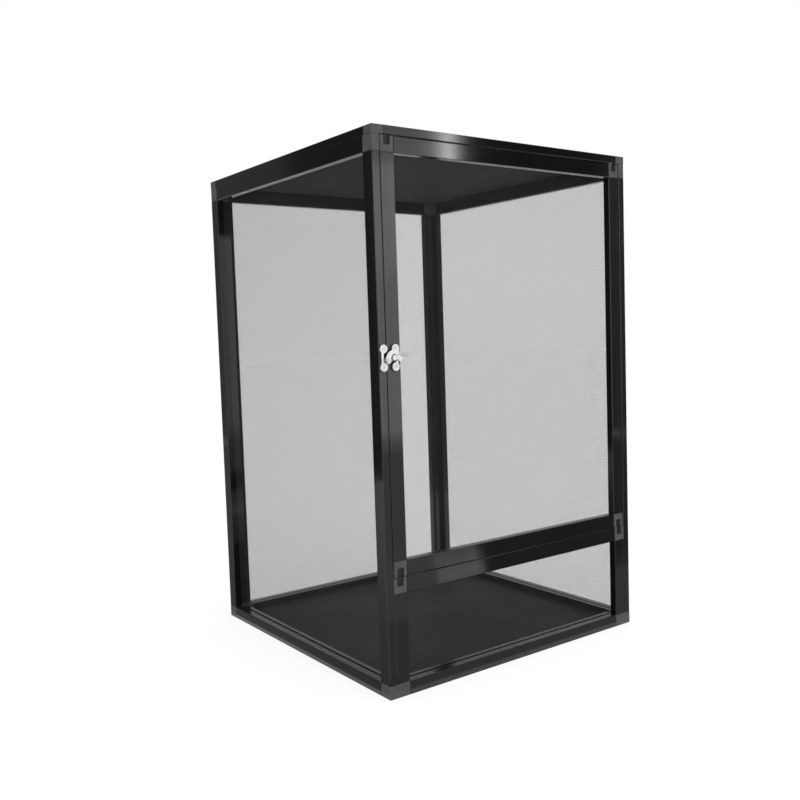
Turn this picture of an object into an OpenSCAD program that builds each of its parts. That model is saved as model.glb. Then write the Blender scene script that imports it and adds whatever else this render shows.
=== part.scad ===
// Tall mesh reptile terrarium: six screened panels of hollow metal profile on a low base frame,
// a front door on two concealed pins, and a swing-hook latch.
// X runs right along the front, Y runs to the back, Z is up. The front of the cage faces -Y.

/* [Cage] */
// Width over the side panels
cage_w = 450; // [320:5:600]
// Depth from the front face to the back face
cage_d = 450; // [320:5:600]
// Height from the floor to the top frame
cage_h = 700; // [500:5:900]
// Height of the top of the fixed panel under the door
lower_top = 151; // [100:1:220]

/* [Profile] */
// Face width of the rails and stiles
rail_w = 20; // [18:0.5:26]
// Face width of the rails of the top frame
top_rail_w = 17; // [16:0.5:22]
// Thickness of a panel, from its outer to its inner face
rail_t = 11; // [10:0.5:14]
// Wall of the hollow profile
wall = 1.2; // [0.9:0.1:1.5]
// Width of the groove that takes the screen and its spline
groove_w = 4; // [3.8:0.1:4.6]
// Depth of that groove
groove_depth = 4.6; // [4:0.1:5.2]
// Lip between the groove and the opening
lip_w = 1.5; // [1.2:0.1:2]
// Chamfer along the profile's corners
edge = 0.6; // [0.3:0.1:0.9]

/* [Base] */
// Height of the base rails
base_h = 18; // [16:0.5:24]
// Width of the base rails, from the outer to the inner face
base_w = 20; // [19:0.5:26]
// Thickness of the floor board
floor_t = 3; // [2:0.5:4]
// Height of the underside of the floor board
floor_z = 5; // [4:0.5:6]
// How far the floor board reaches into the base rails
floor_tuck = 4; // [3:0.5:4.5]

/* [Corner keys] */
// Length of the legs that plug into the rails
leg_len = 25; // [15:1:40]
// Clearance round a leg in its rail
leg_fit = 0.2; // [0.1:0.05:0.4]
// Width of the recess in a front corner key
recess_w = 10; // [6:0.5:11]
// Height of the recess in a front corner key
recess_h = 11; // [6:0.5:13]
// Depth of the recess in a front corner key
recess_depth = 3; // [1:0.5:3.5]
// Depth and width of the step round a key's outer face
key_step = 0.5; // [0.3:0.1:0.8]

/* [Screens] */
// Thickness of the screen
screen_t = 0.4; // [0.3:0.1:0.6]
// Width of a screen wire
wire = 1; // [0.6:0.1:1.6]
// Largest spacing of the wires
pitch = 60; // [50:1:80]
// Diameter of the spline cord
spline_d = 3.2; // [3:0.1:3.3]

/* [Door] */
// Gap between the door and the fixed frame
door_gap = 1; // [0.8:0.1:2]
// Gap beside the door on its hinge side
hinge_gap = 1.5; // [1.4:0.1:3]
// Diameter of a hinge pin
pin_d = 4; // [3:0.5:5]
// Length of a hinge pin
pin_len = 16; // [13:1:18]
// Radial running clearance of pins and rivets
running = 0.05; // [0.02:0.01:0.09]

/* [Latch] */
// Height of the middle of the latch
latch_z = 423; // [260:1:440]
// Diameter of the ears of the two plates
ear_d = 11; // [9:0.5:11]
// Spacing of the two screws in a plate
ear_spacing = 22; // [18:0.5:30]
// Width of a plate between its ears
waist_w = 3.6; // [3:0.1:6]
// How far the waist of a plate is set off from its screws
waist_shift = 2; // [0:0.1:2.5]
// Thickness of the plates
plate_t = 3.2; // [2:0.1:4]
// Thickness of the hook
hook_t = 2.5; // [2:0.1:3]
// Distance of the pivot from the cage's side
pivot_x = 9; // [8:0.1:9]
// Drop of the pivot below the middle of the latch
pivot_drop = 3; // [2:0.1:4]
// Distance of the catch plate's screws from the edge of the door
catch_x = 11; // [9:0.5:12]
// How far the stud is set off from the catch plate's screws
stud_shift = 4.4; // [3:0.1:5]
// Diameter of the neck of the stud
neck_d = 5.4; // [4:0.1:6]
// Diameter of the head of the stud
head_d = 7; // [6:0.1:8]
// Play round the neck of the stud in the hook's mouth
mouth_play = 1.8; // [0.8:0.1:2]
// Outer radius of the hook
arch_r = 12.6; // [12:0.1:13.5]
// How far the finger tab stands in front of the cage
tab_proud = 10; // [9.5:0.5:14]
// Height of the finger tab
tab_h = 4.4; // [3:0.1:5]
// Diameter of the latch screws
screw_d = 2.5; // [2:0.1:3]

/* [Hidden] */
$fn = 48;

metal = "#26272a";
plastic = "#5b5b5e";
zinc = "#c9c9cb";
black = "#1c1c1d";
seam = 0.3;                               // gap between a rail's end and the key beside it
tiny = 0.02;                              // clearance of a part that is pressed home
over = 1;                                 // overrun of a cutting shape

// Where the groove, the screen and the spline lie in a profile.
// u is counted from the outer edge of a rail to the opening, v from the outer face to the inner face.
function groove_u(w) = w - lip_w - groove_w;
groove_v = rail_t - groove_depth;
lip_v = rail_t - 0.8;
screen_v = lip_v + 0.1;
spline_r = spline_d / 2;
function spline_u(w) = groove_u(w) + 0.1 + spline_r;
spline_v = groove_v + 0.1 + spline_r;
function flange_u(w) = w - lip_w - 0.05 - screen_t;
flange_v = groove_v + 0.6;
function cavity_w(w) = groove_u(w) - 2 * wall;
cavity_t = rail_t - 2 * wall;

// Panels: width and height of each, measured over its own frame
panel_h = cage_h - rail_t - base_h;
side_len = cage_d;
front_len = cage_w - 2 * rail_t;
lower_h = lower_top - base_h;
door_x = rail_t + door_gap;
door_z = lower_top + door_gap;
door_w = cage_w - 2 * rail_t - door_gap - hinge_gap;
door_h = cage_h - rail_t - door_gap - door_z;
cap_len = rail_t + rail_w;

// Base groove, counted from the outer face of the base rail
base_groove_v = screen_v - 0.2;

// Hinge axis, counted in the door from its left edge
pin_x = door_w - rail_w / 2;
pin_r = pin_d / 2;

// Latch, counted from the pivot. p is counted out of the front face.
plate_x = door_x + catch_x;
stud_dx = plate_x - stud_shift - pivot_x;
mouth_r = neck_d / 2 + mouth_play;
boss_r = 2.6;
stud_boss_r = 3.6;
rivet_r = 1.5;
lobe_rise = 2.6;
hook_p = plate_t + seam;
head_p = hook_p + hook_t + seam;
head_t = 1.2;
tab_t = 2;
bead_r = tab_t / 2 + 0.2;
knob_r = 1.8;
tab_slope = 15;
tab_x = 5;
tab_z = 8.6;
tab_step = 4;
tab_run = 7;
screw_r = screw_d / 2;
screw_len = 8;
screw_head_r = screw_d;
frame_screw_r = 1.5;
frame_screw_len = 20;
frame_cross = [3.2, 0.6, 0.9];            // length, width and depth of a screw's cross recess
latch_cross = [2.6, 0.5, 0.7];

// The front-most point is the finger tab, so the whole is moved back by half of what it adds
centre_y = tab_proud / 2;

// ---------- places ----------
module in_cage() {
    translate([-cage_w / 2, -cage_d / 2 + centre_y, 0]) children();
}

// Panel space: x along the panel, y from its outer to its inner face, z up
module in_front(x = 0, z = 0) {
    in_cage() translate([x, 0, z]) children();
}

module in_back() {
    in_cage() translate([cage_w - rail_t, cage_d, base_h]) rotate([0, 0, 180]) children();
}

module in_left() {
    in_cage() translate([0, cage_d, base_h]) rotate([0, 0, -90]) children();
}

module in_right() {
    in_cage() translate([cage_w, 0, base_h]) rotate([0, 0, 90]) children();
}

module in_top() {
    in_cage() translate([0, 0, cage_h]) rotate([-90, 0, 0]) children();
}

// ---------- profile ----------
module profile(w) {
    difference() {
        polygon([[edge, 0], [w - edge, 0], [w, edge], [w, lip_v], [w - lip_w, lip_v],
            [w - lip_w, groove_v], [groove_u(w), groove_v], [groove_u(w), rail_t], [edge, rail_t],
            [0, rail_t - edge], [0, edge]]);
        polygon([[wall, wall], [w - wall, wall], [w - wall, groove_v - wall],
            [groove_u(w) - wall, groove_v - wall], [groove_u(w) - wall, rail_t - wall],
            [wall, rail_t - wall]]);
    }
}

module stile(len, w = rail_w) {
    color(metal) linear_extrude(len) profile(w);
}

// A rail along +x with its outer edge at z = 0 and its opening below
module cross_rail(len, w = rail_w) {
    rotate([0, 90, 0]) stile(len, w);
}

// ---------- corner keys ----------
// The key of a top left corner, with the panel's corner at the origin
module key_body(w) {
    leg_w = cavity_w(w) - 2 * leg_fit;
    leg_t = cavity_t - 2 * leg_fit;
    near = wall + leg_fit;
    difference() {
        union() {
            translate([0, key_step, -w]) cube([w, rail_t - key_step, w]);
            translate([key_step, 0, key_step - w])
                cube([w - 2 * key_step, rail_t, w - 2 * key_step]);
            translate([w - over, near, -near - leg_w]) cube([leg_len + over, leg_t, leg_w]);
            translate([near, near, -w - leg_len]) cube([leg_w, leg_t, leg_len + over]);
        }
        translate([groove_u(w), groove_v, -w - over])
            cube([groove_w, groove_depth + over, w - groove_u(w) + over]);
        translate([groove_u(w), groove_v, -w + lip_w])
            cube([lip_w + groove_w + over, groove_depth + over, groove_w]);
        translate([w - lip_w, lip_v, -w - over])
            cube([lip_w + over, rail_t, lip_w + over]);
    }
}

module recess(w) {
    translate([(w - recess_w) / 2, -over, -recess_h])
        cube([recess_w, recess_depth + over, recess_h + over]);
}

module front_key(w = rail_w) {
    color(plastic) difference() {
        key_body(w);
        recess(w);
    }
}

module plain_key(w = rail_w) {
    color(plastic) key_body(w);
}

module key_pair(len, height) {
    translate([0, 0, height]) children();
    translate([len, 0, height]) mirror([1, 0, 0]) children();
}

// ---------- screens and splines ----------
// A flat net from x0 to x1 and z0 to z1, with an edge band all round
module net(x0, x1, z0, z1, band) {
    nx = ceil((x1 - x0 - 2 * band) / pitch);
    nz = ceil((z1 - z0 - 2 * band) / pitch);
    step_x = (x1 - x0 - 2 * band + wire) / nx;
    step_z = (z1 - z0 - 2 * band + wire) / nz;
    translate([0, screen_v + screen_t, 0]) rotate([90, 0, 0]) linear_extrude(screen_t) difference() {
        translate([x0, z0]) square([x1 - x0, z1 - z0]);
        for (i = [0 : nx - 1]) for (j = [0 : nz - 1])
            translate([x0 + band + i * step_x, z0 + band + j * step_z])
                square([step_x - wire, step_z - wire]);
    }
}

// A screen with its edges folded into the grooves. foot is true where the panel has a bottom rail.
module screen(len, height, w, foot) {
    f = flange_u(w);
    fold = screen_v + screen_t - flange_v;
    z0 = foot ? f : seam;
    color(black) {
        net(f, len - f, z0, height - f, w - f + wire);
        for (x = [f, len - f - screen_t])
            translate([x, flange_v, z0]) cube([screen_t, fold, height - f - z0]);
        translate([f, flange_v, height - f - screen_t]) cube([len - 2 * f, fold, screen_t]);
        if (foot) translate([f, flange_v, f]) cube([len - 2 * f, fold, screen_t]);
        if (!foot) translate([w + seam, screen_v, -groove_depth + 0.4])
            cube([len - 2 * w - 2 * seam, screen_t, groove_depth + wire]);
    }
}

// Cord pressed into the grooves round a screen, cut to four lengths
module spline(len, height, w, foot) {
    u = spline_u(w);
    end_gap = spline_r + seam;
    z0 = foot ? u + end_gap : seam;
    color(black) {
        for (x = [u, len - u])
            translate([x, spline_v, z0]) cylinder(r = spline_r, h = height - u - z0 + spline_r);
        translate([u + end_gap, spline_v, height - u])
            rotate([0, 90, 0]) cylinder(r = spline_r, h = len - 2 * u - 2 * end_gap);
        if (foot) translate([u - spline_r, spline_v, u])
            rotate([0, 90, 0]) cylinder(r = spline_r, h = len - 2 * u + 2 * spline_r);
        if (!foot)
            translate([w + seam, screen_v + screen_t + 0.1 + spline_r, spline_r + 0.1 - groove_depth])
                rotate([0, 90, 0]) cylinder(r = spline_r, h = len - 2 * w - 2 * seam);
    }
}

// ---------- base frame ----------
module base_profile() {
    difference() {
        polygon([[edge, 0], [base_w - edge, 0], [base_w, edge], [base_w, floor_z],
            [base_w - floor_tuck - seam, floor_z], [base_w - floor_tuck - seam, floor_z + floor_t + seam],
            [base_w, floor_z + floor_t + seam], [base_w, base_h],
            [base_groove_v + groove_w, base_h], [base_groove_v + groove_w, base_h - groove_depth],
            [base_groove_v, base_h - groove_depth], [base_groove_v, base_h],
            [edge, base_h], [0, base_h - edge], [0, edge]]);
        translate([wall, wall]) square([base_groove_v - 2 * wall, base_h - 2 * wall]);
    }
}

module base_rail(len) {
    color(metal) rotate([90, 0, 90]) linear_extrude(len) base_profile();
}

// A corner cap of the base at the front left: it carries the side post and the panel stile beside it
module base_cap() {
    plug_w = base_groove_v - 2 * wall - 2 * leg_fit;
    plug_h = base_h - 2 * wall - 2 * leg_fit;
    near = wall + leg_fit;
    post_w = cavity_w(rail_w) - 2 * leg_fit;
    post_t = cavity_t - 2 * leg_fit;
    color(plastic) {
        translate([key_step, key_step, 0]) cube([cap_len - 2 * key_step, base_w - 2 * key_step, base_h]);
        translate([0, 0, key_step]) cube([cap_len, base_w, base_h - 2 * key_step]);
        translate([cap_len - over, near, near]) cube([leg_len + over, plug_w, plug_h]);
        translate([near, base_w - over, near]) cube([plug_w, leg_len + over, plug_h]);
        translate([near, near, base_h - over]) cube([post_t, post_w, leg_len + over]);
        translate([rail_t + near, near, base_h - over]) cube([post_w, post_t, leg_len + over]);
    }
}

module base_front_rail() {
    in_cage() translate([cap_len + seam, 0, 0]) base_rail(cage_w - 2 * cap_len - 2 * seam);
}

module base_back_rail() {
    in_cage() translate([cage_w - cap_len - seam, cage_d, 0]) rotate([0, 0, 180])
        base_rail(cage_w - 2 * cap_len - 2 * seam);
}

module base_left_rail() {
    in_cage() translate([0, cage_d - base_w - seam, 0]) rotate([0, 0, -90])
        base_rail(cage_d - 2 * base_w - 2 * seam);
}

module base_right_rail() {
    in_cage() translate([cage_w, base_w + seam, 0]) rotate([0, 0, 90])
        base_rail(cage_d - 2 * base_w - 2 * seam);
}

module base_cap_front_left() {
    in_cage() base_cap();
}

module base_cap_front_right() {
    in_cage() translate([cage_w, 0, 0]) mirror([1, 0, 0]) base_cap();
}

module base_cap_back_left() {
    in_cage() translate([0, cage_d, 0]) mirror([0, 1, 0]) base_cap();
}

module base_cap_back_right() {
    in_cage() translate([cage_w, cage_d, 0]) rotate([0, 0, 180]) base_cap();
}

module floor_panel() {
    in = base_w - floor_tuck;
    color(black) in_cage() difference() {
        translate([in, in, floor_z + seam / 2]) cube([cage_w - 2 * in, cage_d - 2 * in, floor_t]);
        for (x = [0, cage_w - cap_len - seam]) for (y = [0, cage_d - base_w - seam])
            translate([x, y, 0]) cube([cap_len + seam, base_w + seam, base_h]);
    }
}

// ---------- fixed panels ----------
module left_front_post() {
    difference() {
        in_left() translate([side_len, 0, 0]) mirror([1, 0, 0]) stile(panel_h - rail_w - seam);
        in_cage() translate([rail_t / 2, 0, latch_z]) ear_holes(screw_r + tiny);
    }
}

module left_back_post() {
    in_left() stile(panel_h - rail_w - seam);
}

module right_front_post() {
    in_right() stile(panel_h - rail_w - seam);
}

module right_back_post() {
    in_right() translate([side_len, 0, 0]) mirror([1, 0, 0]) stile(panel_h - rail_w - seam);
}

module side_top_rail() {
    translate([rail_w + seam, 0, panel_h]) cross_rail(side_len - 2 * rail_w - 2 * seam);
}

module left_top_rail() {
    in_left() side_top_rail();
}

module right_top_rail() {
    in_right() side_top_rail();
}

module left_corner_keys() {
    difference() {
        in_left() key_pair(side_len, panel_h) plain_key();
        corner_screw_holes(frame_screw_r + tiny);
    }
}

module right_corner_keys() {
    difference() {
        in_right() key_pair(side_len, panel_h) plain_key();
        corner_screw_holes(frame_screw_r + tiny);
    }
}

module left_screen() {
    in_left() screen(side_len, panel_h, rail_w, false);
}

module right_screen() {
    in_right() screen(side_len, panel_h, rail_w, false);
}

module left_spline() {
    in_left() spline(side_len, panel_h, rail_w, false);
}

module right_spline() {
    in_right() spline(side_len, panel_h, rail_w, false);
}

module back_left_stile() {
    in_back() translate([front_len, 0, 0]) mirror([1, 0, 0]) stile(panel_h - rail_w - seam);
}

module back_right_stile() {
    in_back() stile(panel_h - rail_w - seam);
}

module back_top_rail() {
    in_back() translate([rail_w + seam, 0, panel_h]) cross_rail(front_len - 2 * rail_w - 2 * seam);
}

module back_corner_keys() {
    difference() {
        in_back() key_pair(front_len, panel_h) plain_key();
        back_screw_holes(frame_screw_r + tiny);
    }
}

module back_screen() {
    in_back() screen(front_len, panel_h, rail_w, false);
}

module back_spline() {
    in_back() spline(front_len, panel_h, rail_w, false);
}

module in_lower() {
    in_front(rail_t, base_h) children();
}

module lower_left_stile() {
    in_lower() stile(lower_h - rail_w - seam);
}

module lower_right_stile() {
    in_lower() translate([front_len, 0, 0]) mirror([1, 0, 0]) stile(lower_h - rail_w - seam);
}

module lower_top_rail() {
    in_lower() translate([rail_w + seam, 0, lower_h]) cross_rail(front_len - 2 * rail_w - 2 * seam);
}

module lower_corner_keys() {
    difference() {
        in_lower() key_pair(front_len, lower_h) front_key();
        in_door() translate([pin_x, rail_t / 2, -door_gap - pin_len])
            cylinder(r = pin_r + running, h = pin_len + over);
    }
}

module lower_screen() {
    in_lower() screen(front_len, lower_h, rail_w, false);
}

module lower_spline() {
    in_lower() spline(front_len, lower_h, rail_w, false);
}

// ---------- top frame ----------
module in_top_screws(points) {
    in_cage() for (q = points) translate([q[0], q[1], cage_h]) mirror([0, 0, 1]) children();
}

corner_points = [for (x = [rail_t / 2, cage_w - rail_t / 2])
    for (y = [top_rail_w / 2, cage_d - top_rail_w / 2]) [x, y]];
back_points = [for (x = [rail_t + rail_w / 2, cage_w - rail_t - rail_w / 2]) [x, cage_d - rail_t / 2]];

module corner_screw_holes(r) {
    in_top_screws(corner_points) translate([0, 0, -over]) cylinder(r = r, h = frame_screw_len + 2 * over);
}

module back_screw_holes(r) {
    in_top_screws(back_points) translate([0, 0, -over]) cylinder(r = r, h = frame_screw_len + 2 * over);
}

module countersinks(points) {
    in_top_screws(points) translate([0, 0, -tiny])
        cylinder(r1 = 2 * frame_screw_r + 2 * tiny, r2 = frame_screw_r + tiny, h = frame_screw_r + 2 * tiny);
}

module top_side_rail() {
    stile(cage_d - 2 * top_rail_w - 2 * seam, top_rail_w);
}

module top_front_rail() {
    difference() {
        in_top() translate([top_rail_w + seam, 0, 0]) mirror([0, 0, 1])
            cross_rail(cage_w - 2 * top_rail_w - 2 * seam, top_rail_w);
        in_door() translate([pin_x, rail_t / 2, door_h])
            cylinder(r = pin_r + seam, h = door_gap + wall + over);
    }
}

module top_back_rail() {
    difference() {
        in_top() translate([top_rail_w + seam, 0, cage_d])
            cross_rail(cage_w - 2 * top_rail_w - 2 * seam, top_rail_w);
        back_screw_holes(frame_screw_r + 2 * tiny);
        countersinks(back_points);
    }
}

module top_left_rail() {
    in_top() translate([0, 0, top_rail_w + seam]) top_side_rail();
}

module top_right_rail() {
    in_top() translate([cage_w, 0, top_rail_w + seam]) mirror([1, 0, 0]) top_side_rail();
}

module top_corner_keys() {
    difference() {
        in_top() {
            key_pair(cage_w, cage_d) plain_key(top_rail_w);
            mirror([0, 0, 1]) key_pair(cage_w, 0) plain_key(top_rail_w);
        }
        corner_screw_holes(frame_screw_r + 2 * tiny);
        back_screw_holes(frame_screw_r + 2 * tiny);
        countersinks(corner_points);
        countersinks(back_points);
        in_door() translate([pin_x, rail_t / 2, door_h]) cylinder(r = pin_r + running, h = pin_len / 2);
    }
}

module top_screen() {
    in_top() screen(cage_w, cage_d, top_rail_w, true);
}

module top_spline() {
    in_top() spline(cage_w, cage_d, top_rail_w, true);
}

// The cross recess in the top of a screw whose head lies at z = 0
module cross_recess(size) {
    for (turn = [0, 90]) rotate([0, 0, turn])
        translate([-size[0] / 2, -size[1] / 2, -size[2]]) cube([size[0], size[1], size[2] + over]);
}

// Countersunk screws that hold the top frame to the side panels and the back panel
module top_screws() {
    color(black) in_top_screws(concat(corner_points, back_points)) difference() {
        union() {
            cylinder(r = frame_screw_r, h = frame_screw_len);
            cylinder(r1 = 2 * frame_screw_r, r2 = frame_screw_r, h = frame_screw_r);
        }
        mirror([0, 0, 1]) cross_recess(frame_cross);
    }
}

// ---------- door ----------
module in_door() {
    in_front(door_x, door_z) children();
}

module door_left_stile() {
    difference() {
        in_door() translate([0, 0, rail_w + seam]) stile(door_h - 2 * rail_w - 2 * seam);
        in_cage() translate([plate_x, 0, latch_z]) ear_holes(screw_r + tiny);
    }
}

module door_right_stile() {
    in_door() translate([door_w, 0, rail_w + seam]) mirror([1, 0, 0])
        stile(door_h - 2 * rail_w - 2 * seam);
}

module door_top_rail() {
    in_door() translate([rail_w + seam, 0, door_h]) cross_rail(door_w - 2 * rail_w - 2 * seam);
}

module door_bottom_rail() {
    in_door() translate([rail_w + seam, 0, 0]) mirror([0, 0, 1])
        cross_rail(door_w - 2 * rail_w - 2 * seam);
}

module door_key_top_left() {
    in_door() translate([0, 0, door_h]) front_key();
}

module door_key_top_right() {
    difference() {
        in_door() translate([door_w, 0, door_h]) mirror([1, 0, 0]) front_key();
        pin_top_place() translate([0, 0, -tiny]) cylinder(r = pin_r + tiny, h = pin_len);
    }
}

module door_key_bottom_left() {
    in_door() mirror([0, 0, 1]) front_key();
}

module door_key_bottom_right() {
    difference() {
        in_door() translate([door_w, 0, 0]) rotate([0, 180, 0]) front_key();
        pin_bottom_place() translate([0, 0, -tiny]) cylinder(r = pin_r + tiny, h = pin_len + 2 * tiny);
    }
}

module door_screen() {
    in_door() screen(door_w, door_h, rail_w, true);
}

module door_spline() {
    in_door() spline(door_w, door_h, rail_w, true);
}

module pin_top_place() {
    in_door() translate([pin_x, rail_t / 2, door_h - pin_len / 2]) children();
}

module pin_bottom_place() {
    in_door() translate([pin_x, rail_t / 2, -pin_len / 2]) children();
}

module hinge_pin() {
    tip = 0.5;
    color(zinc) {
        translate([0, 0, tip]) cylinder(r = pin_r, h = pin_len - 2 * tip);
        cylinder(r1 = pin_r - tip, r2 = pin_r, h = tip);
        translate([0, 0, pin_len - tip]) cylinder(r1 = pin_r, r2 = pin_r - tip, h = tip);
    }
}

module hinge_pin_top() {
    pin_top_place() hinge_pin();
}

module hinge_pin_bottom() {
    pin_bottom_place() hinge_pin();
}

// ---------- latch ----------
// Latch space: x right, y up, z out of the front face
module on_front(x, z) {
    in_cage() translate([x, 0, z]) rotate([90, 0, 0]) children();
}

module ear_holes(r) {
    for (side = [-1, 1]) translate([0, 0, side * ear_spacing / 2]) rotate([90, 0, 0])
        translate([0, 0, -screw_len]) cylinder(r = r, h = screw_len + plate_t + over);
}

// A plate of two ears, with its waist set off to one side and a bridge from the waist to a boss
module plate(waist_x, boss_x, boss_z, boss) {
    for (side = [-1, 1]) translate([0, side * ear_spacing / 2]) cylinder(d = ear_d, h = plate_t);
    translate([waist_x - waist_w / 2, -ear_spacing / 2]) cube([waist_w, ear_spacing, plate_t]);
    translate([min(waist_x, boss_x), boss_z - waist_w / 2]) cube([abs(boss_x - waist_x), waist_w, plate_t]);
    translate([boss_x, boss_z]) cylinder(r = boss, h = plate_t);
}

module plate_holes() {
    for (side = [-1, 1]) translate([0, side * ear_spacing / 2]) {
        translate([0, 0, -over]) cylinder(r = screw_r + 2 * tiny, h = plate_t + 2 * over);
        translate([0, 0, plate_t - screw_r - tiny])
            cylinder(r1 = screw_r + tiny, r2 = screw_head_r + 2 * tiny, h = screw_r + 2 * tiny);
    }
}

module latch_post_plate() {
    color(zinc) on_front(rail_t / 2, latch_z) difference() {
        plate(-waist_shift, pivot_x - rail_t / 2, -pivot_drop, boss_r);
        plate_holes();
        translate([pivot_x - rail_t / 2, -pivot_drop, -over])
            cylinder(r = rivet_r + tiny, h = plate_t + 2 * over);
    }
}

module latch_catch_plate() {
    color(zinc) on_front(plate_x, latch_z) {
        difference() {
            plate(waist_shift, -stud_shift, 0, stud_boss_r);
            plate_holes();
        }
        translate([-stud_shift, 0]) {
            cylinder(r = neck_d / 2, h = head_p + head_t / 2);
            translate([0, 0, head_p]) cylinder(r = head_d / 2, h = head_t);
        }
    }
}

// Half the width of the hook's outer circle at a height above the pivot
function arch_at(y) = sqrt(arch_r * arch_r - y * y);

// The round end of the hook's band, on the left or the right of the mouth
module band_end(y, side) {
    translate([stud_dx + side * (mouth_r + arch_at(y)) / 2, y]) circle(r = (arch_at(y) - mouth_r) / 2);
}

// The hook is a broad horseshoe, open below so that it lifts off the stud's neck
module hook_outline() {
    difference() {
        union() {
            intersection() {
                translate([stud_dx, 0]) circle(r = arch_r);
                union() {
                    translate([stud_dx - 2 * arch_r, 0]) square(2 * arch_r);
                    translate([stud_dx, lobe_rise]) square(2 * arch_r);
                }
            }
            band_end(0, -1);
            band_end(lobe_rise, 1);
        }
        translate([stud_dx, pivot_drop]) circle(r = mouth_r);
        translate([stud_dx - mouth_r, pivot_drop - 2 * arch_r]) square([2 * mouth_r, 2 * arch_r]);
        circle(r = rivet_r + running);
    }
}

module latch_hook() {
    color(zinc) on_front(pivot_x, latch_z - pivot_drop) translate([0, 0, hook_p]) {
        linear_extrude(hook_t) hook_outline();
        finger_tab();
    }
}

// The finger tab leaves the band, turns out of the front and ends in a round knob
module finger_tab() {
    low = [0, hook_t / 2];
    bend = [tab_step, hook_t / 2 + 0.6];
    end = [tab_step + tab_run, tab_proud - hook_p - knob_r];
    translate([stud_dx + tab_x, tab_z, 0]) rotate([0, 0, -tab_slope]) translate([0, -tab_h / 2, 0]) {
        tab_leg(low, bend);
        tab_leg(bend, end);
        tab_bead(bend, bead_r);
        tab_bead(end, knob_r);
    }
}

module tab_bead(point, r) {
    translate([point[0], 0, point[1]]) rotate([-90, 0, 0]) cylinder(r = r, h = tab_h);
}

module tab_leg(a, b) {
    d = b - a;
    translate([a[0], 0, a[1]]) rotate([0, -atan2(d[1], d[0]), 0])
        translate([0, 0, -tab_t / 2]) cube([norm(d), tab_h, tab_t]);
}

module latch_pivot_rivet() {
    color(zinc) on_front(pivot_x, latch_z - pivot_drop) {
        cylinder(r = rivet_r, h = head_p + head_t / 2);
        translate([0, 0, head_p]) cylinder(r1 = rivet_r * 1.9, r2 = rivet_r * 1.3, h = head_t);
    }
}

module latch_screw_pair() {
    for (side = [-1, 1]) translate([0, side * ear_spacing / 2]) difference() {
        union() {
            translate([0, 0, plate_t - screw_len]) cylinder(r = screw_r, h = screw_len);
            translate([0, 0, plate_t - screw_r]) cylinder(r1 = screw_r, r2 = screw_head_r, h = screw_r);
        }
        translate([0, 0, plate_t]) rotate([0, 0, 45]) cross_recess(latch_cross);
    }
}

module latch_post_screws() {
    color(zinc) on_front(rail_t / 2, latch_z) latch_screw_pair();
}

module latch_catch_screws() {
    color(zinc) on_front(plate_x, latch_z) latch_screw_pair();
}

base_front_rail();
base_back_rail();
base_left_rail();
base_right_rail();
base_cap_front_left();
base_cap_front_right();
base_cap_back_left();
base_cap_back_right();
floor_panel();
left_front_post();
left_back_post();
left_top_rail();
left_corner_keys();
left_screen();
left_spline();
right_front_post();
right_back_post();
right_top_rail();
right_corner_keys();
right_screen();
right_spline();
back_left_stile();
back_right_stile();
back_top_rail();
back_corner_keys();
back_screen();
back_spline();
lower_left_stile();
lower_right_stile();
lower_top_rail();
lower_corner_keys();
lower_screen();
lower_spline();
top_front_rail();
top_back_rail();
top_left_rail();
top_right_rail();
top_corner_keys();
top_screen();
top_spline();
top_screws();
door_left_stile();
door_right_stile();
door_top_rail();
door_bottom_rail();
door_key_top_left();
door_key_top_right();
door_key_bottom_left();
door_key_bottom_right();
door_screen();
door_spline();
hinge_pin_top();
hinge_pin_bottom();
latch_post_plate();
latch_hook();
latch_pivot_rivet();
latch_catch_plate();
latch_post_screws();
latch_catch_screws();
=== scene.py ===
import math
import random
import bmesh
import bpy
from mathutils import Matrix, Vector


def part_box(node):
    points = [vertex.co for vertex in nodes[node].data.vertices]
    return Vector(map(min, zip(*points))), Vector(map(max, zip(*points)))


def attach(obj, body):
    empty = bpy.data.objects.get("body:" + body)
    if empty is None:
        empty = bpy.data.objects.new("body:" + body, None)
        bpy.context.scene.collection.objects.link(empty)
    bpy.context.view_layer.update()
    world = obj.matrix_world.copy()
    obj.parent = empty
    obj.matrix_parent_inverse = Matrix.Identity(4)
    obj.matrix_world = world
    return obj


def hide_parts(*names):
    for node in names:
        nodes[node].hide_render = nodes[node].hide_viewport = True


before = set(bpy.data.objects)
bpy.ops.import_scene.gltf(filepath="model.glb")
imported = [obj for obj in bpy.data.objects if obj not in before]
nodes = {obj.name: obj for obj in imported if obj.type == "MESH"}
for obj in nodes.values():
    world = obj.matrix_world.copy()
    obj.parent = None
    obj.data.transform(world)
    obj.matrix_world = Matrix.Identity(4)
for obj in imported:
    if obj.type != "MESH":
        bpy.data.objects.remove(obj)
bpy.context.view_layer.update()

MM = 0.001

# The front face of the cage, and how deep the recesses in its corner keys are
FRONT_FACE = -0.220
RECESS_DEPTH = 3 * MM


# ---------- camera ----------
# The picture is square, and the focal length is given in its pixels
PICTURE_PX = 800
FOCAL_PX = 889.7
SENSOR_MM = 36
CAMERA_AT = Vector((-0.8339, -1.0965, 0.4521))
TURN, TILT, ROLL = (math.radians(angle) for angle in (36.057, -4.285, -1.883))


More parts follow.
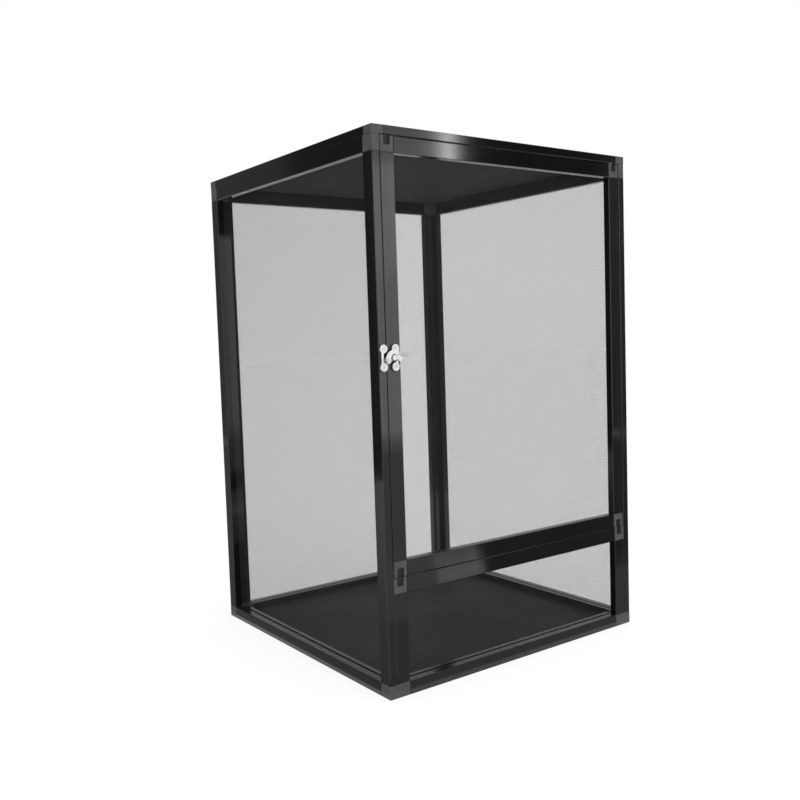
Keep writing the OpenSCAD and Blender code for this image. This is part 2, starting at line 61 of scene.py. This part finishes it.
def camera():
    level = math.cos(TILT)
    ahead = Vector((math.sin(TURN) * level, math.cos(TURN) * level, math.sin(TILT)))
    side = Vector((math.cos(TURN), -math.sin(TURN), 0))
    over = side.cross(ahead)
    right = side * math.cos(ROLL) + over * math.sin(ROLL)
    up = over * math.cos(ROLL) - side * math.sin(ROLL)
    data = bpy.data.cameras.new("photo_camera")
    data.sensor_width = SENSOR_MM
    data.lens = FOCAL_PX / PICTURE_PX * data.sensor_width
    data.clip_start, data.clip_end = 0.01, 60
    cam = bpy.data.objects.new("photo_camera", data)
    axes = Matrix((right, up, -ahead)).transposed().to_4x4()
    cam.matrix_world = Matrix.Translation(CAMERA_AT) @ axes
    bpy.context.scene.collection.objects.link(cam)
    bpy.context.scene.camera = cam


camera()


# ---------- node helpers ----------
class Finish:
    """A material with its shader, and short ways to hang texture nodes on it."""

    def __init__(self, name):
        self.mat = bpy.data.materials.new(name)
        self.mat.use_nodes = True
        self.tree = self.mat.node_tree
        self.shader = self.tree.nodes["Principled BSDF"]
        self.coords = self.add("ShaderNodeTexCoord").outputs["Object"]

    def add(self, kind, **settings):
        node = self.tree.nodes.new(kind)
        for key, value in settings.items():
            setattr(node, key, value)
        return node

    def link(self, out, socket):
        self.tree.links.new(out, socket)

    def set(self, **values):
        for key, value in values.items():
            self.shader.inputs[key.replace("_", " ")].default_value = value

    def stretched(self, scale):
        node = self.add("ShaderNodeMapping")
        node.inputs["Scale"].default_value = scale
        self.link(self.coords, node.inputs["Vector"])
        return node.outputs["Vector"]

    def noise(self, scale, detail=2, rough=0.5, at=None):
        node = self.add("ShaderNodeTexNoise")
        node.inputs["Scale"].default_value = scale
        node.inputs["Detail"].default_value = detail
        node.inputs["Roughness"].default_value = rough
        self.link(at or self.coords, node.inputs["Vector"])
        return node.outputs["Fac"]

    def ramp(self, value, *ends):
        """A ramp between two colours, each given with its place."""
        node = self.add("ShaderNodeValToRGB")
        for point, (place, colour) in zip(node.color_ramp.elements, ends):
            point.position = place
            point.color = (*colour, 1)
        self.link(value, node.inputs["Fac"])
        return node.outputs["Color"]

    def span(self, value, low, high, start=0.0, stop=1.0):
        """Maps start to stop of value onto low to high."""
        node = self.add("ShaderNodeMapRange")
        ends = {"From Min": start, "From Max": stop, "To Min": low, "To Max": high}
        for socket, number in ends.items():
            node.inputs[socket].default_value = number
        self.link(value, node.inputs["Value"])
        return node.outputs["Result"]

    def times(self, *values):
        result = values[0]
        for value in values[1:]:
            node = self.add("ShaderNodeMath", operation="MULTIPLY")
            self.link(result, node.inputs[0])
            self.link(value, node.inputs[1])
            result = node.outputs[0]
        return result

    def blend(self, amount, under, colour):
        """Lays a plain colour over another by amount."""
        node = self.add("ShaderNodeMix", data_type="RGBA")
        self.link(amount, node.inputs[0])
        self.link(under, node.inputs[6])
        node.inputs[7].default_value = (*colour, 1)
        return node.outputs[2]

    def bump(self, height, strength, distance, under=None):
        node = self.add("ShaderNodeBump")
        node.inputs["Strength"].default_value = strength
        node.inputs["Distance"].default_value = distance
        self.link(height, node.inputs["Height"])
        if under:
            self.link(under, node.inputs["Normal"])
        return node.outputs["Normal"]

    def wear(self, colour, rough, normal):
        for value, socket in ((colour, "Base Color"), (rough, "Roughness"), (normal, "Normal")):
            self.link(value, self.shader.inputs[socket])
        return self.mat


# ---------- finishes ----------
# How many times to the metre the die lines change across an extruded rail, and along it
LINES_ACROSS, LINES_ALONG = 700, 1.2


def black_anodised(axis):
    """Black anodised aluminium. Its die lines run along the rail and smear its gloss across it."""
    f = Finish("black_anodised_along_" + axis)
    quarter_turn = 0.0 if axis == "z" else 0.25
    f.set(Specular_IOR_Level=0.55, IOR=1.5, Anisotropic=0.97, Anisotropic_Rotation=quarter_turn)
    stretch = [LINES_ALONG if axis == other else LINES_ACROSS for other in "xyz"]
    at = f.stretched(stretch)
    lines = f.noise(1, 3, 0.6, at)
    broad = f.noise(1, 1, 0.5, f.stretched([0.16 * s for s in stretch]))
    cloud = f.noise(9, 3, 0.55)
    dust = f.noise(900, 1)
    tint = f.ramp(cloud, (0.3, (0.0052, 0.0052, 0.0050)), (0.7, (0.0085, 0.0085, 0.0080)))
    streak = f.blend(f.span(lines, 0, 0.3, 0.45, 0.8), tint, (0.016, 0.016, 0.0155))
    specked = f.blend(f.span(dust, 0, 0.4, 0.70, 0.78), streak, (0.05, 0.05, 0.048))
    rough = f.span(f.noise(1, 2, 0.5, at), 0.10, 0.15, 0.3, 0.7)
    ripple = f.bump(broad, 0.06, 0.0003)
    return f.wear(specked, rough, f.bump(lines, 0.20, 0.00005, ripple))


def into_recess(share):
    """The place on the y axis that is this share of a recess's depth behind the front face."""
    return FRONT_FACE + RECESS_DEPTH * share


def grained_plastic():
    """Dark grey nylon of the keys and caps, with a fine moulded grain, and painted shade on the
    floors of the recesses.
    """
    f = Finish("grained_plastic")
    f.set(Specular_IOR_Level=0.42, IOR=1.5)
    cloud = f.noise(40, 4, 0.6)
    grain = f.noise(2600, 2, 0.6)
    scuff = f.noise(1, 2, 0.7, f.stretched((900, 900, 160)))
    tint = f.ramp(cloud, (0.3, (0.075, 0.078, 0.077)), (0.7, (0.115, 0.118, 0.117)))
    rubbed = f.blend(f.span(scuff, 0, 0.4, 0.66, 0.8), tint, (0.16, 0.16, 0.16))
    place, facing = f.add("ShaderNodeSeparateXYZ"), f.add("ShaderNodeSeparateXYZ")
    f.link(f.coords, place.inputs[0])
    f.link(f.coords.node.outputs["Normal"], facing.inputs[0])
    # Painted shade: the forward-facing floor of each recess, behind the front face, is darkened to
    # a near black
    sunk = f.span(place.outputs["Y"], 0, 1, into_recess(0.5), into_recess(0.6))
    ahead = f.span(facing.outputs["Y"], 1, 0, -0.9, -0.5)
    near = f.span(place.outputs["Y"], 1, 0, into_recess(1.1), into_recess(1.2))
    recess_painted_shade = f.blend(f.times(sunk, ahead, near), rubbed, (0.020, 0.0185, 0.0175))
    rough = f.span(grain, 0.42, 0.62, 0.3, 0.7)
    flow = f.bump(cloud, 0.08, 0.0006)
    return f.wear(recess_painted_shade, rough, f.bump(grain, 0.35, 0.00012, flow))


def coated_wire():
    """Black coated wire of the screens."""
    f = Finish("coated_wire")
    f.set(Specular_IOR_Level=0.5, IOR=1.5)
    cloud = f.noise(14, 3)
    fleck = f.noise(1800, 1)
    tint = f.ramp(cloud, (0.3, (0.024, 0.025, 0.025)), (0.7, (0.038, 0.038, 0.037)))
    flecked = f.blend(f.span(fleck, 0, 0.5, 0.68, 0.8), tint, (0.11, 0.11, 0.11))
    rough = f.span(fleck, 0.38, 0.6, 0.3, 0.7)
    return f.wear(flecked, rough, f.bump(fleck, 0.2, 0.00004))


def rubber_cord():
    """Black rubber of the cord that holds a screen in its groove."""
    f = Finish("rubber_cord")
    f.set(Specular_IOR_Level=0.35)
    bloom = f.noise(60, 4, 0.65)
    pits = f.noise(3000, 2)
    tint = f.ramp(bloom, (0.35, (0.012, 0.012, 0.012)), (0.75, (0.030, 0.030, 0.031)))
    return f.wear(tint, f.span(bloom, 0.6, 0.85), f.bump(pits, 0.3, 0.0001))


def black_board():
    """Matte black floor board with a leathery pressed texture, fine flecks and a little dust."""
    f = Finish("black_board")
    f.set(Specular_IOR_Level=0.18)
    pressed = f.noise(420, 3, 0.6)
    cloud = f.noise(5, 5, 0.6)
    fleck = f.noise(1500, 1)
    tint = f.ramp(cloud, (0.3, (0.0125, 0.0128, 0.0128)), (0.7, (0.021, 0.0212, 0.021)))
    flecked = f.blend(f.span(fleck, 0, 0.6, 0.68, 0.80), tint, (0.09, 0.09, 0.088))
    rough = f.span(cloud, 0.55, 0.8, 0.3, 0.7)
    return f.wear(flecked, rough, f.bump(pressed, 0.45, 0.0003))


def polished_zinc():
    """Bright zinc plate of the latch, with the soft ripple of a pressed and plated part."""
    f = Finish("polished_zinc")
    f.set(Metallic=1.0)
    cloud = f.noise(180, 3, 0.6)
    brushed = f.noise(1, 2, 0.6, f.stretched((1500, 1500, 240)))
    tint = f.ramp(cloud, (0.3, (0.44, 0.445, 0.46)), (0.7, (0.53, 0.535, 0.545)))
    dull = f.blend(f.span(brushed, 0, 0.35, 0.6, 0.8), tint, (0.36, 0.36, 0.38))
    rough = f.span(brushed, 0.18, 0.32, 0.3, 0.7)
    return f.wear(dull, rough, f.bump(cloud, 0.12, 0.0005))


def turned_steel():
    """Plain steel of the hinge pins."""
    f = Finish("turned_steel")
    f.set(Metallic=1.0)
    rings = f.noise(1, 2, 0.6, f.stretched((60, 60, 4000)))
    tint = f.ramp(rings, (0.3, (0.42, 0.42, 0.43)), (0.7, (0.60, 0.60, 0.61)))
    return f.wear(tint, f.span(rings, 0.22, 0.4, 0.3, 0.7), f.bump(rings, 0.15, 0.00005))


def blackened_screw():
    """Blackened steel of the screws in the top frame."""
    f = Finish("blackened_screw")
    f.set(Metallic=0.7)
    cloud = f.noise(500, 3)
    tint = f.ramp(cloud, (0.3, (0.025, 0.025, 0.027)), (0.75, (0.07, 0.07, 0.072)))
    return f.wear(tint, f.span(cloud, 0.3, 0.5), f.bump(cloud, 0.15, 0.0001))


METAL = {axis: black_anodised(axis) for axis in "xyz"}
PLASTIC = grained_plastic()
WIRE = coated_wire()
RUBBER = rubber_cord()
BOARD = black_board()
ZINC = polished_zinc()
STEEL = turned_steel()
BLACK_SCREW = blackened_screw()


def paint(node, finish):
    mesh = nodes[node].data
    mesh.materials.clear()
    mesh.materials.append(finish)


def finish_of(name):
    """The finish of a kept part, from what its name says it is."""
    if name.endswith(("_post", "_stile")):
        return METAL["z"]
    if name.endswith("_rail"):
        low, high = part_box(name)
        size = high - low
        return METAL["x" if size.x > size.y else "y"]
    if "_key" in name or "_cap_" in name:
        return PLASTIC
    if name.startswith("hinge_pin"):
        return STEEL
    if name.startswith("latch"):
        return ZINC
    return {"floor_panel": BOARD, "top_screws": BLACK_SCREW}.get(name)


for name in nodes:
    if finish_of(name):
        paint(name, finish_of(name))


# Rounded edges of the moulded and pressed parts
EDGE_ANGLE = math.radians(35)
WELD_GAP = 0.01 * MM
PART_EDGE = 0.35 * MM
RIVET_EDGE = 0.15 * MM


def soften(node, width):
    """Rounds the sharp edges of a kept part."""
    part = nodes[node]
    weld = part.modifiers.new("weld", "WELD")
    weld.merge_threshold = WELD_GAP
    edge = part.modifiers.new("edge", "BEVEL")
    edge.width = width
    edge.segments = 2
    edge.limit_method = "ANGLE"
    edge.angle_limit = EDGE_ANGLE
    edge.use_clamp_overlap = False


for name in nodes:
    if finish_of(name) == PLASTIC or name in ("latch_post_plate", "latch_catch_plate"):
        soften(name, PART_EDGE)
soften("latch_pivot_rivet", RIVET_EDGE)


# ---------- screens ----------
def finish_piece(name, bm, material, body, replaced, smooth=None):
    """Makes bm a piece of the object that stands for one part and moves with its body."""
    mesh = bpy.data.meshes.new(name)
    bm.to_mesh(mesh)
    bm.free()
    mesh.materials.append(material)
    if smooth:
        mesh.polygons.foreach_set("use_smooth", [True] * len(mesh.polygons))
        mesh.set_sharp_from_angle(angle=math.radians(smooth))
    piece = bpy.data.objects.new(name, mesh)
    bpy.context.scene.collection.objects.link(piece)
    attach(piece, body)
    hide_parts(replaced)


# Width and thickness of the wires. The top net's are thicker, to look dark from low down
WIRE_W = 0.083 * MM
WIRE_T = 0.066 * MM
TOP_WIRE_T = 0.25 * MM
PITCH, OPEN_PITCH = 0.75 * MM, 0.83 * MM
# How far the two layers of wires sink into each other, and the net behind its node's inner face
LAYERS_SINK = 0.01 * MM
NET_BACK = 0.2 * MM
# How deep the edges of a net are folded into the groove
FOLD = 3.4 * MM
# Wires wander by up to one and a half times BOW, and less within HOLD of the frame
NET_BENDS = 5
BOW = 0.5 * MM
HOLD = 60 * MM
FULL_TURN = 6.3

# Which way each panel lies: across, up, and inwards, as signed axes
FACING = {
    "left": ((0, -1, 0), (0, 0, 1), (1, 0, 0)),
    "right": ((0, 1, 0), (0, 0, 1), (-1, 0, 0)),
    "back": ((-1, 0, 0), (0, 0, 1), (0, -1, 0)),
    "lower": ((1, 0, 0), (0, 0, 1), (0, 1, 0)),
    "door": ((1, 0, 0), (0, 0, 1), (0, 1, 0)),
    "top": ((1, 0, 0), (0, 1, 0), (0, 0, -1)),
}


def panel_frame(panel, node):
    """The matrix from panel space to the row frame, and the node's box in panel space."""
    across, up, inward = (Vector(axis) for axis in FACING[panel])
    place = Matrix((across, up, inward)).transposed().to_4x4()
    low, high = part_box(node)
    flat = place.inverted()
    corners = [flat @ Vector((x, y, z))
               for x in (low.x, high.x) for y in (low.y, high.y) for z in (low.z, high.z)]
    lo = Vector(min(c[i] for c in corners) for i in range(3))
    hi = Vector(max(c[i] for c in corners) for i in range(3))
    return place, lo, hi


def bar(bm, axis, first, last, middle, size):
    """A straight bar along axis. middle and size are its place and section on the other axes."""
    centre, full = list(middle), list(size)
    centre[axis], full[axis] = (first + last) / 2, last - first
    at = Matrix.Translation(centre) @ Matrix.Diagonal((*full, 1))
    bmesh.ops.create_cube(bm, size=1, matrix=at)


def join(bm, other):
    """Moves everything in other into bm."""
    mesh = bpy.data.meshes.new("part")
    other.to_mesh(mesh)
    other.free()
    bm.from_mesh(mesh)
    bpy.data.meshes.remove(mesh)


def row(bm, axis, step, count):
    """Repeats everything in bm count times along axis, doubling the row as it goes."""
    each, made = len(bm.verts), 1
    while made < count:
        more = min(made, count - made)
        twin = bm.copy()
        twin.verts.ensure_lookup_table()
        bmesh.ops.delete(twin, geom=twin.verts[more * each:], context="VERTS")
        shift = Vector((0, 0, 0))
        shift[axis] = step * made
        bmesh.ops.translate(twin, vec=shift, verts=twin.verts)
        join(bm, twin)
        made += more


def wire_layer(run, lo, hi, pitch, layer, thick, slack):
    """The wires of one direction. The pull of the cord in the groove lets them wander a little."""
    cross = 1 - run
    span = hi[cross] - lo[cross]
    count = round(span / pitch)
    step = span / count
    bm = bmesh.new()
    middle = [0, 0, layer]
    middle[cross] = lo[cross] + step / 2
    bar(bm, run, lo[run], hi[run], middle, (WIRE_W, WIRE_W, thick))
    wire_edges = [e for e in bm.edges if abs(e.verts[0].co[run] - e.verts[1].co[run]) > WIRE_W * 2]
    bmesh.ops.subdivide_edges(bm, edges=wire_edges, cuts=NET_BENDS)
    row(bm, cross, step, count)
    first, second, third = (slack.uniform(0, FULL_TURN) for i in range(3))
    for v in bm.verts:
        a, b = v.co[cross] - lo[cross], v.co[run] - lo[run]
        edge = min(a, span - a, b, hi[run] - v.co[run])
        hold = max(0, min(1, edge / HOLD))
        wave = math.sin(7 * a + first) * math.sin(9 * b + second)
        wave += 0.5 * math.sin(19 * a + 11 * b + third)
        v.co[cross] += hold * BOW * wave
    return bm


def lay_askew(bm, lo, hi, lean):
    """Turns the wires a little in their panel, trims them to it and closes their cut ends."""
    middle = (lo + hi) / 2
    bmesh.ops.rotate(bm, cent=middle, matrix=Matrix.Rotation(lean, 3, "Z"), verts=bm.verts)
    for axis in (0, 1):
        for side, at in ((-1, lo), (1, hi)):
            out = Vector((0, 0, 0))
            out[axis] = side
            geom = bm.verts[:] + bm.edges[:] + bm.faces[:]
            bmesh.ops.bisect_plane(bm, geom=geom, plane_co=at, plane_no=out, clear_outer=True)
    bmesh.ops.holes_fill(bm, edges=[e for e in bm.edges if e.is_boundary])


def screen_net(panel, body, footed, pitches, lean=0, thick=WIRE_T):
    """A fine net of crossing wires, its edges folded into the grooves of its frame.

    pitches are the spacings of the upright and of the crossing wires. A footed panel has a groove
    along its foot too.
    """
    node = panel + "_screen"
    place, lo, hi = panel_frame(panel, node)
    plane = hi.z - NET_BACK
    slack = random.Random(panel)
    spread = Vector((hi.y - lo.y, hi.x - lo.x, 0)) * abs(math.sin(lean)) / 2
    bm = bmesh.new()
    levels = (plane - thick / 2, plane + thick / 2 - LAYERS_SINK)
    for run, pitch, level in zip((1, 0), pitches, levels):
        wires = wire_layer(run, lo - spread, hi + spread, pitch, level, thick, slack)
        if lean:
            lay_askew(wires, lo, hi, lean)
        join(bm, wires)
    edges = [(0, lo.x, 1), (0, hi.x, -1), (1, hi.y, -1)]
    if footed:
        edges.append((1, lo.y, 1))
    for axis, at, into in edges:
        along = 1 - axis
        count = round((hi[along] - lo[along]) / pitches[along])
        step = (hi[along] - lo[along]) / count
        middle = [0, 0, 0]
        middle[axis] = at + into * WIRE_W / 2
        for k in (1, 2):
            middle[2] = plane - k * FOLD / 2
            bar(bm, along, lo[along] + WIRE_W, hi[along] - WIRE_W, middle, [WIRE_W] * 3)
        tails = bmesh.new()
        middle[along] = lo[along] + step / 2
        bar(tails, 2, plane - FOLD, plane, middle, (WIRE_W, WIRE_W, 0))
        row(tails, along, step, count)
        join(bm, tails)
    bm.transform(place)
    finish_piece(panel + "_net", bm, WIRE, body, node)


# The nets lean apart, so that two seen through each other make no broad false pattern
screen_net("door", "door", True, (OPEN_PITCH, OPEN_PITCH), math.radians(4))
screen_net("lower", "cage", False, (OPEN_PITCH, OPEN_PITCH), math.radians(4))
screen_net("left", "cage", False, (PITCH, OPEN_PITCH), math.radians(6))
screen_net("right", "cage", False, (PITCH, PITCH), math.radians(6))
screen_net("back", "cage", False, (PITCH, PITCH), math.radians(3.5))
screen_net("top", "cage", True, (PITCH, PITCH), 0, TOP_WIRE_T)


# ---------- spline cords ----------
CORD_R = 1.6 * MM
CORD_GAP = 0.3 * MM
CORD_SIDES = 20
SERRATION = 0.07
# Where a panel has no rail at its foot, its foot cord lies further in, in the groove of the frame
# below. It is this much shorter at each end, and the side cords start this far and a gap above it
FOOT_INSET = 5.7 * MM
FOOT_RISE = 2.9 * MM


def cord_length(bm, start, end):
    """A straight length of serrated cord with closed ends."""
    along = end - start
    made = bmesh.ops.create_cone(
        bm, cap_ends=True, segments=CORD_SIDES, radius1=CORD_R, radius2=CORD_R, depth=along.length)
    for v in made["verts"]:
        side = round(math.atan2(v.co.y, v.co.x) / (2 * math.pi / CORD_SIDES))
        shrink = 1 - SERRATION * (side % 2)
        v.co.x *= shrink
        v.co.y *= shrink
    turn = along.to_track_quat("Z", "Y").to_matrix().to_4x4()
    place = Matrix.Translation((start + end) / 2) @ turn
    bmesh.ops.transform(bm, matrix=place, verts=made["verts"])


def screen_cords(panel, body, footed):
    """The four lengths of cord that hold a screen in its grooves."""
    node = panel + "_spline"
    place, lo, hi = panel_frame(panel, node)
    level = lo.z + CORD_R
    bm = bmesh.new()
    left, right, base, top = lo.x + CORD_R, hi.x - CORD_R, lo.y + CORD_R, hi.y - CORD_R
    if footed:
        side_foot = base + CORD_R + CORD_GAP
        foot_left, foot_right, foot_level = lo.x, hi.x, level
    else:
        side_foot = base + FOOT_RISE + CORD_GAP
        foot_left, foot_right, foot_level = lo.x + FOOT_INSET, hi.x - FOOT_INSET, hi.z - CORD_R
    cord_length(bm, Vector((foot_left, base, foot_level)), Vector((foot_right, base, foot_level)))
    for x in (left, right):
        cord_length(bm, Vector((x, side_foot, level)), Vector((x, hi.y, level)))
    clear = CORD_R + CORD_GAP
    cord_length(bm, Vector((left + clear, top, level)), Vector((right - clear, top, level)))
    bm.transform(place)
    finish_piece(panel + "_cord", bm, RUBBER, body, node, smooth=20)


for panel in ("left", "right", "back", "lower"):
    screen_cords(panel, "cage", False)
screen_cords("door", "door", True)
screen_cords("top", "cage", True)


# ---------- studio ----------
# How much of the floor's white takes shadows, the light that reaches it, and the world's light
SHADOW_SHARE = 0.3
FLOOR_LIGHT = 0.6
WORLD_LIGHT = 0.6
FLOOR_HALF = 12
# The kinds of ray that see the plain white of the floor and the world
SEEN_BY = ("Is Camera Ray", "Is Glossy Ray", "Is Transmission Ray")


def light_path_mix(tree, plain, seen, out):
    """Shows seen to the rays in SEEN_BY and plain to all others."""
    path = tree.nodes.new("ShaderNodeLightPath")
    share = path.outputs[SEEN_BY[0]]
    for kind in SEEN_BY[1:]:
        either = tree.nodes.new("ShaderNodeMath")
        either.operation = "MAXIMUM"
        tree.links.new(share, either.inputs[0])
        tree.links.new(path.outputs[kind], either.inputs[1])
        share = either.outputs[0]
    mix = tree.nodes.new("ShaderNodeMixShader")
    tree.links.new(share, mix.inputs[0])
    tree.links.new(plain, mix.inputs[1])
    tree.links.new(seen, mix.inputs[2])
    tree.links.new(mix.outputs[0], out)


def stage_plane(name, bm):
    """Makes bm a staged object with a new material, and returns the object and its node tree."""
    mesh = bpy.data.meshes.new(name)
    bm.to_mesh(mesh)
    bm.free()
    plane = bpy.data.objects.new(name, mesh)
    bpy.context.scene.collection.objects.link(plane)
    mat = bpy.data.materials.new(name)
    mat.use_nodes = True
    mesh.materials.append(mat)
    return plane, mat.node_tree


def studio_floor():
    """A white floor. To the camera most of its white is its own, and the rest takes shadows."""
    bm = bmesh.new()
    bmesh.ops.create_grid(bm, x_segments=1, y_segments=1, size=FLOOR_HALF)
    _, tree = stage_plane("studio_floor", bm)
    shader = tree.nodes["Principled BSDF"]
    shader.inputs["Base Color"].default_value = (0.92, 0.92, 0.92, 1)
    shader.inputs["Roughness"].default_value = 0.9
    shader.inputs["Specular IOR Level"].default_value = 0.0
    veil = tree.nodes.new("ShaderNodeBsdfDiffuse")
    veil.inputs["Color"].default_value = (SHADOW_SHARE, SHADOW_SHARE, SHADOW_SHARE, 1)
    glow = tree.nodes.new("ShaderNodeEmission")
    glow.inputs["Strength"].default_value = 1 - SHADOW_SHARE * FLOOR_LIGHT
    both = tree.nodes.new("ShaderNodeAddShader")
    tree.links.new(veil.outputs[0], both.inputs[0])
    tree.links.new(glow.outputs[0], both.inputs[1])
    out = tree.nodes["Material Output"]
    light_path_mix(tree, shader.outputs[0], both.outputs[0], out.inputs["Surface"])


def studio_world():
    world = bpy.data.worlds.new("studio")
    bpy.context.scene.world = world
    world.use_nodes = True
    tree = world.node_tree
    tree.nodes.clear()
    out = tree.nodes.new("ShaderNodeOutputWorld")
    lamp = tree.nodes.new("ShaderNodeBackground")
    lamp.inputs["Color"].default_value = (0.97, 0.985, 1.0, 1)
    lamp.inputs["Strength"].default_value = WORLD_LIGHT
    white = tree.nodes.new("ShaderNodeBackground")
    white.inputs["Color"].default_value = (1, 1, 1, 1)
    white.inputs["Strength"].default_value = 1.0
    light_path_mix(tree, lamp.outputs[0], white.outputs[0], out.inputs["Surface"])


def glossy_card(name, corners, radiance):
    """A card that only glossy faces see, to shade their reflections. It lights nothing."""
    bm = bmesh.new()
    bm.faces.new([bm.verts.new(corner) for corner in corners])
    card, tree = stage_plane(name, bm)
    tree.nodes.clear()
    out = tree.nodes.new("ShaderNodeOutputMaterial")
    grey = tree.nodes.new("ShaderNodeEmission")
    grey.inputs["Strength"].default_value = radiance
    tree.links.new(grey.outputs[0], out.inputs["Surface"])
    card.visible_camera = card.visible_diffuse = False
    card.visible_shadow = card.visible_transmission = False


def standing_card(name, foot_a, foot_b, radiance, height=3.0):
    """An upright card between two places on the floor."""
    foot = 10 * MM
    corners = [(*foot_a, foot), (*foot_b, foot), (*foot_b, height), (*foot_a, height)]
    glossy_card(name, corners, radiance)


def lying_card(name, radiance, *points, level=4 * MM):
    """A card lying just above the floor, with its corners given in order."""
    glossy_card(name, [(*point, level) for point in points], radiance)


def softbox(name, place, target, width, height, radiance, colour=(1, 1, 1)):
    """A soft rectangular lamp that faces target. radiance is how bright its face is."""
    data = bpy.data.lights.new(name, "AREA")
    data.shape = "RECTANGLE"
    data.size, data.size_y = width, height
    data.energy = radiance * math.pi * width * height
    data.color = colour
    lamp = bpy.data.objects.new(name, data)
    aim = (Vector(target) - Vector(place)).to_track_quat("-Z", "Y")
    lamp.matrix_world = Matrix.Translation(place) @ aim.to_matrix().to_4x4()
    lamp.visible_camera = False
    bpy.context.scene.collection.objects.link(lamp)


studio_floor()
studio_world()

softbox("soft_front", (1.22, -2.28, 0.58), (-0.2, -0.22, 0.5), 0.5, 1.1, 1.35, (1.0, 0.985, 0.95))
softbox("window_strip", (1.484, -2.146, 1.15), (-0.11, -0.22, 0.6), 0.045, 0.9, 14.0)
softbox("overhead", (-0.3, -0.6, 2.6), (0, 0, 0.3), 1.6, 1.6, 1.6)

standing_card("front_dark_card", (1.54, -2.12), (2.09, -1.85), 0.03)
standing_card("right_grey_card", (2.09, -1.85), (3.1, -0.9), 0.22)
standing_card("back_left_dark_card", (-2.6, 0.5), (-1.45, 2.15), 0.055)
standing_card("left_grey_card", (-1.45, 2.15), (-0.8, 3.2), 0.18)
standing_card("rear_bright_card", (-2.6, -1.8), (-1.2, -2.8), 1.7, height=2.2)

lying_card("foot_card", 0.40, (-0.26, -0.226), (0.30, -0.226), (0.66, -0.47), (-0.2, -0.47))
lying_card("front_floor_card", 0.6, (-0.2, -0.45), (0.14, -0.45), (1.30, -2.10), (0.6, -2.3))
lying_card("dark_floor_card", 0.10, (0.14, -0.45), (0.75, -0.42), (2.40, -1.6), (1.40, -2.1))
lying_card("floor_light_card", 2.0, (0.115, -0.55), (0.212, -0.535), (0.305, -0.64), (0.20, -0.66),
           level=6 * MM)
lying_card("left_floor_card", 0.26,
           (-0.228, -0.3), (-0.228, 0.32), (-0.8, 3.2), (-1.3, 2.3), (-1.15, 1.13))
lying_card("left_dark_floor_card", 0.02, (-1.15, 1.13), (-1.3, 2.3), (-2.2, 2.0), (-1.9, 0.6))

bpy.context.scene.view_settings.view_transform = "Standard"
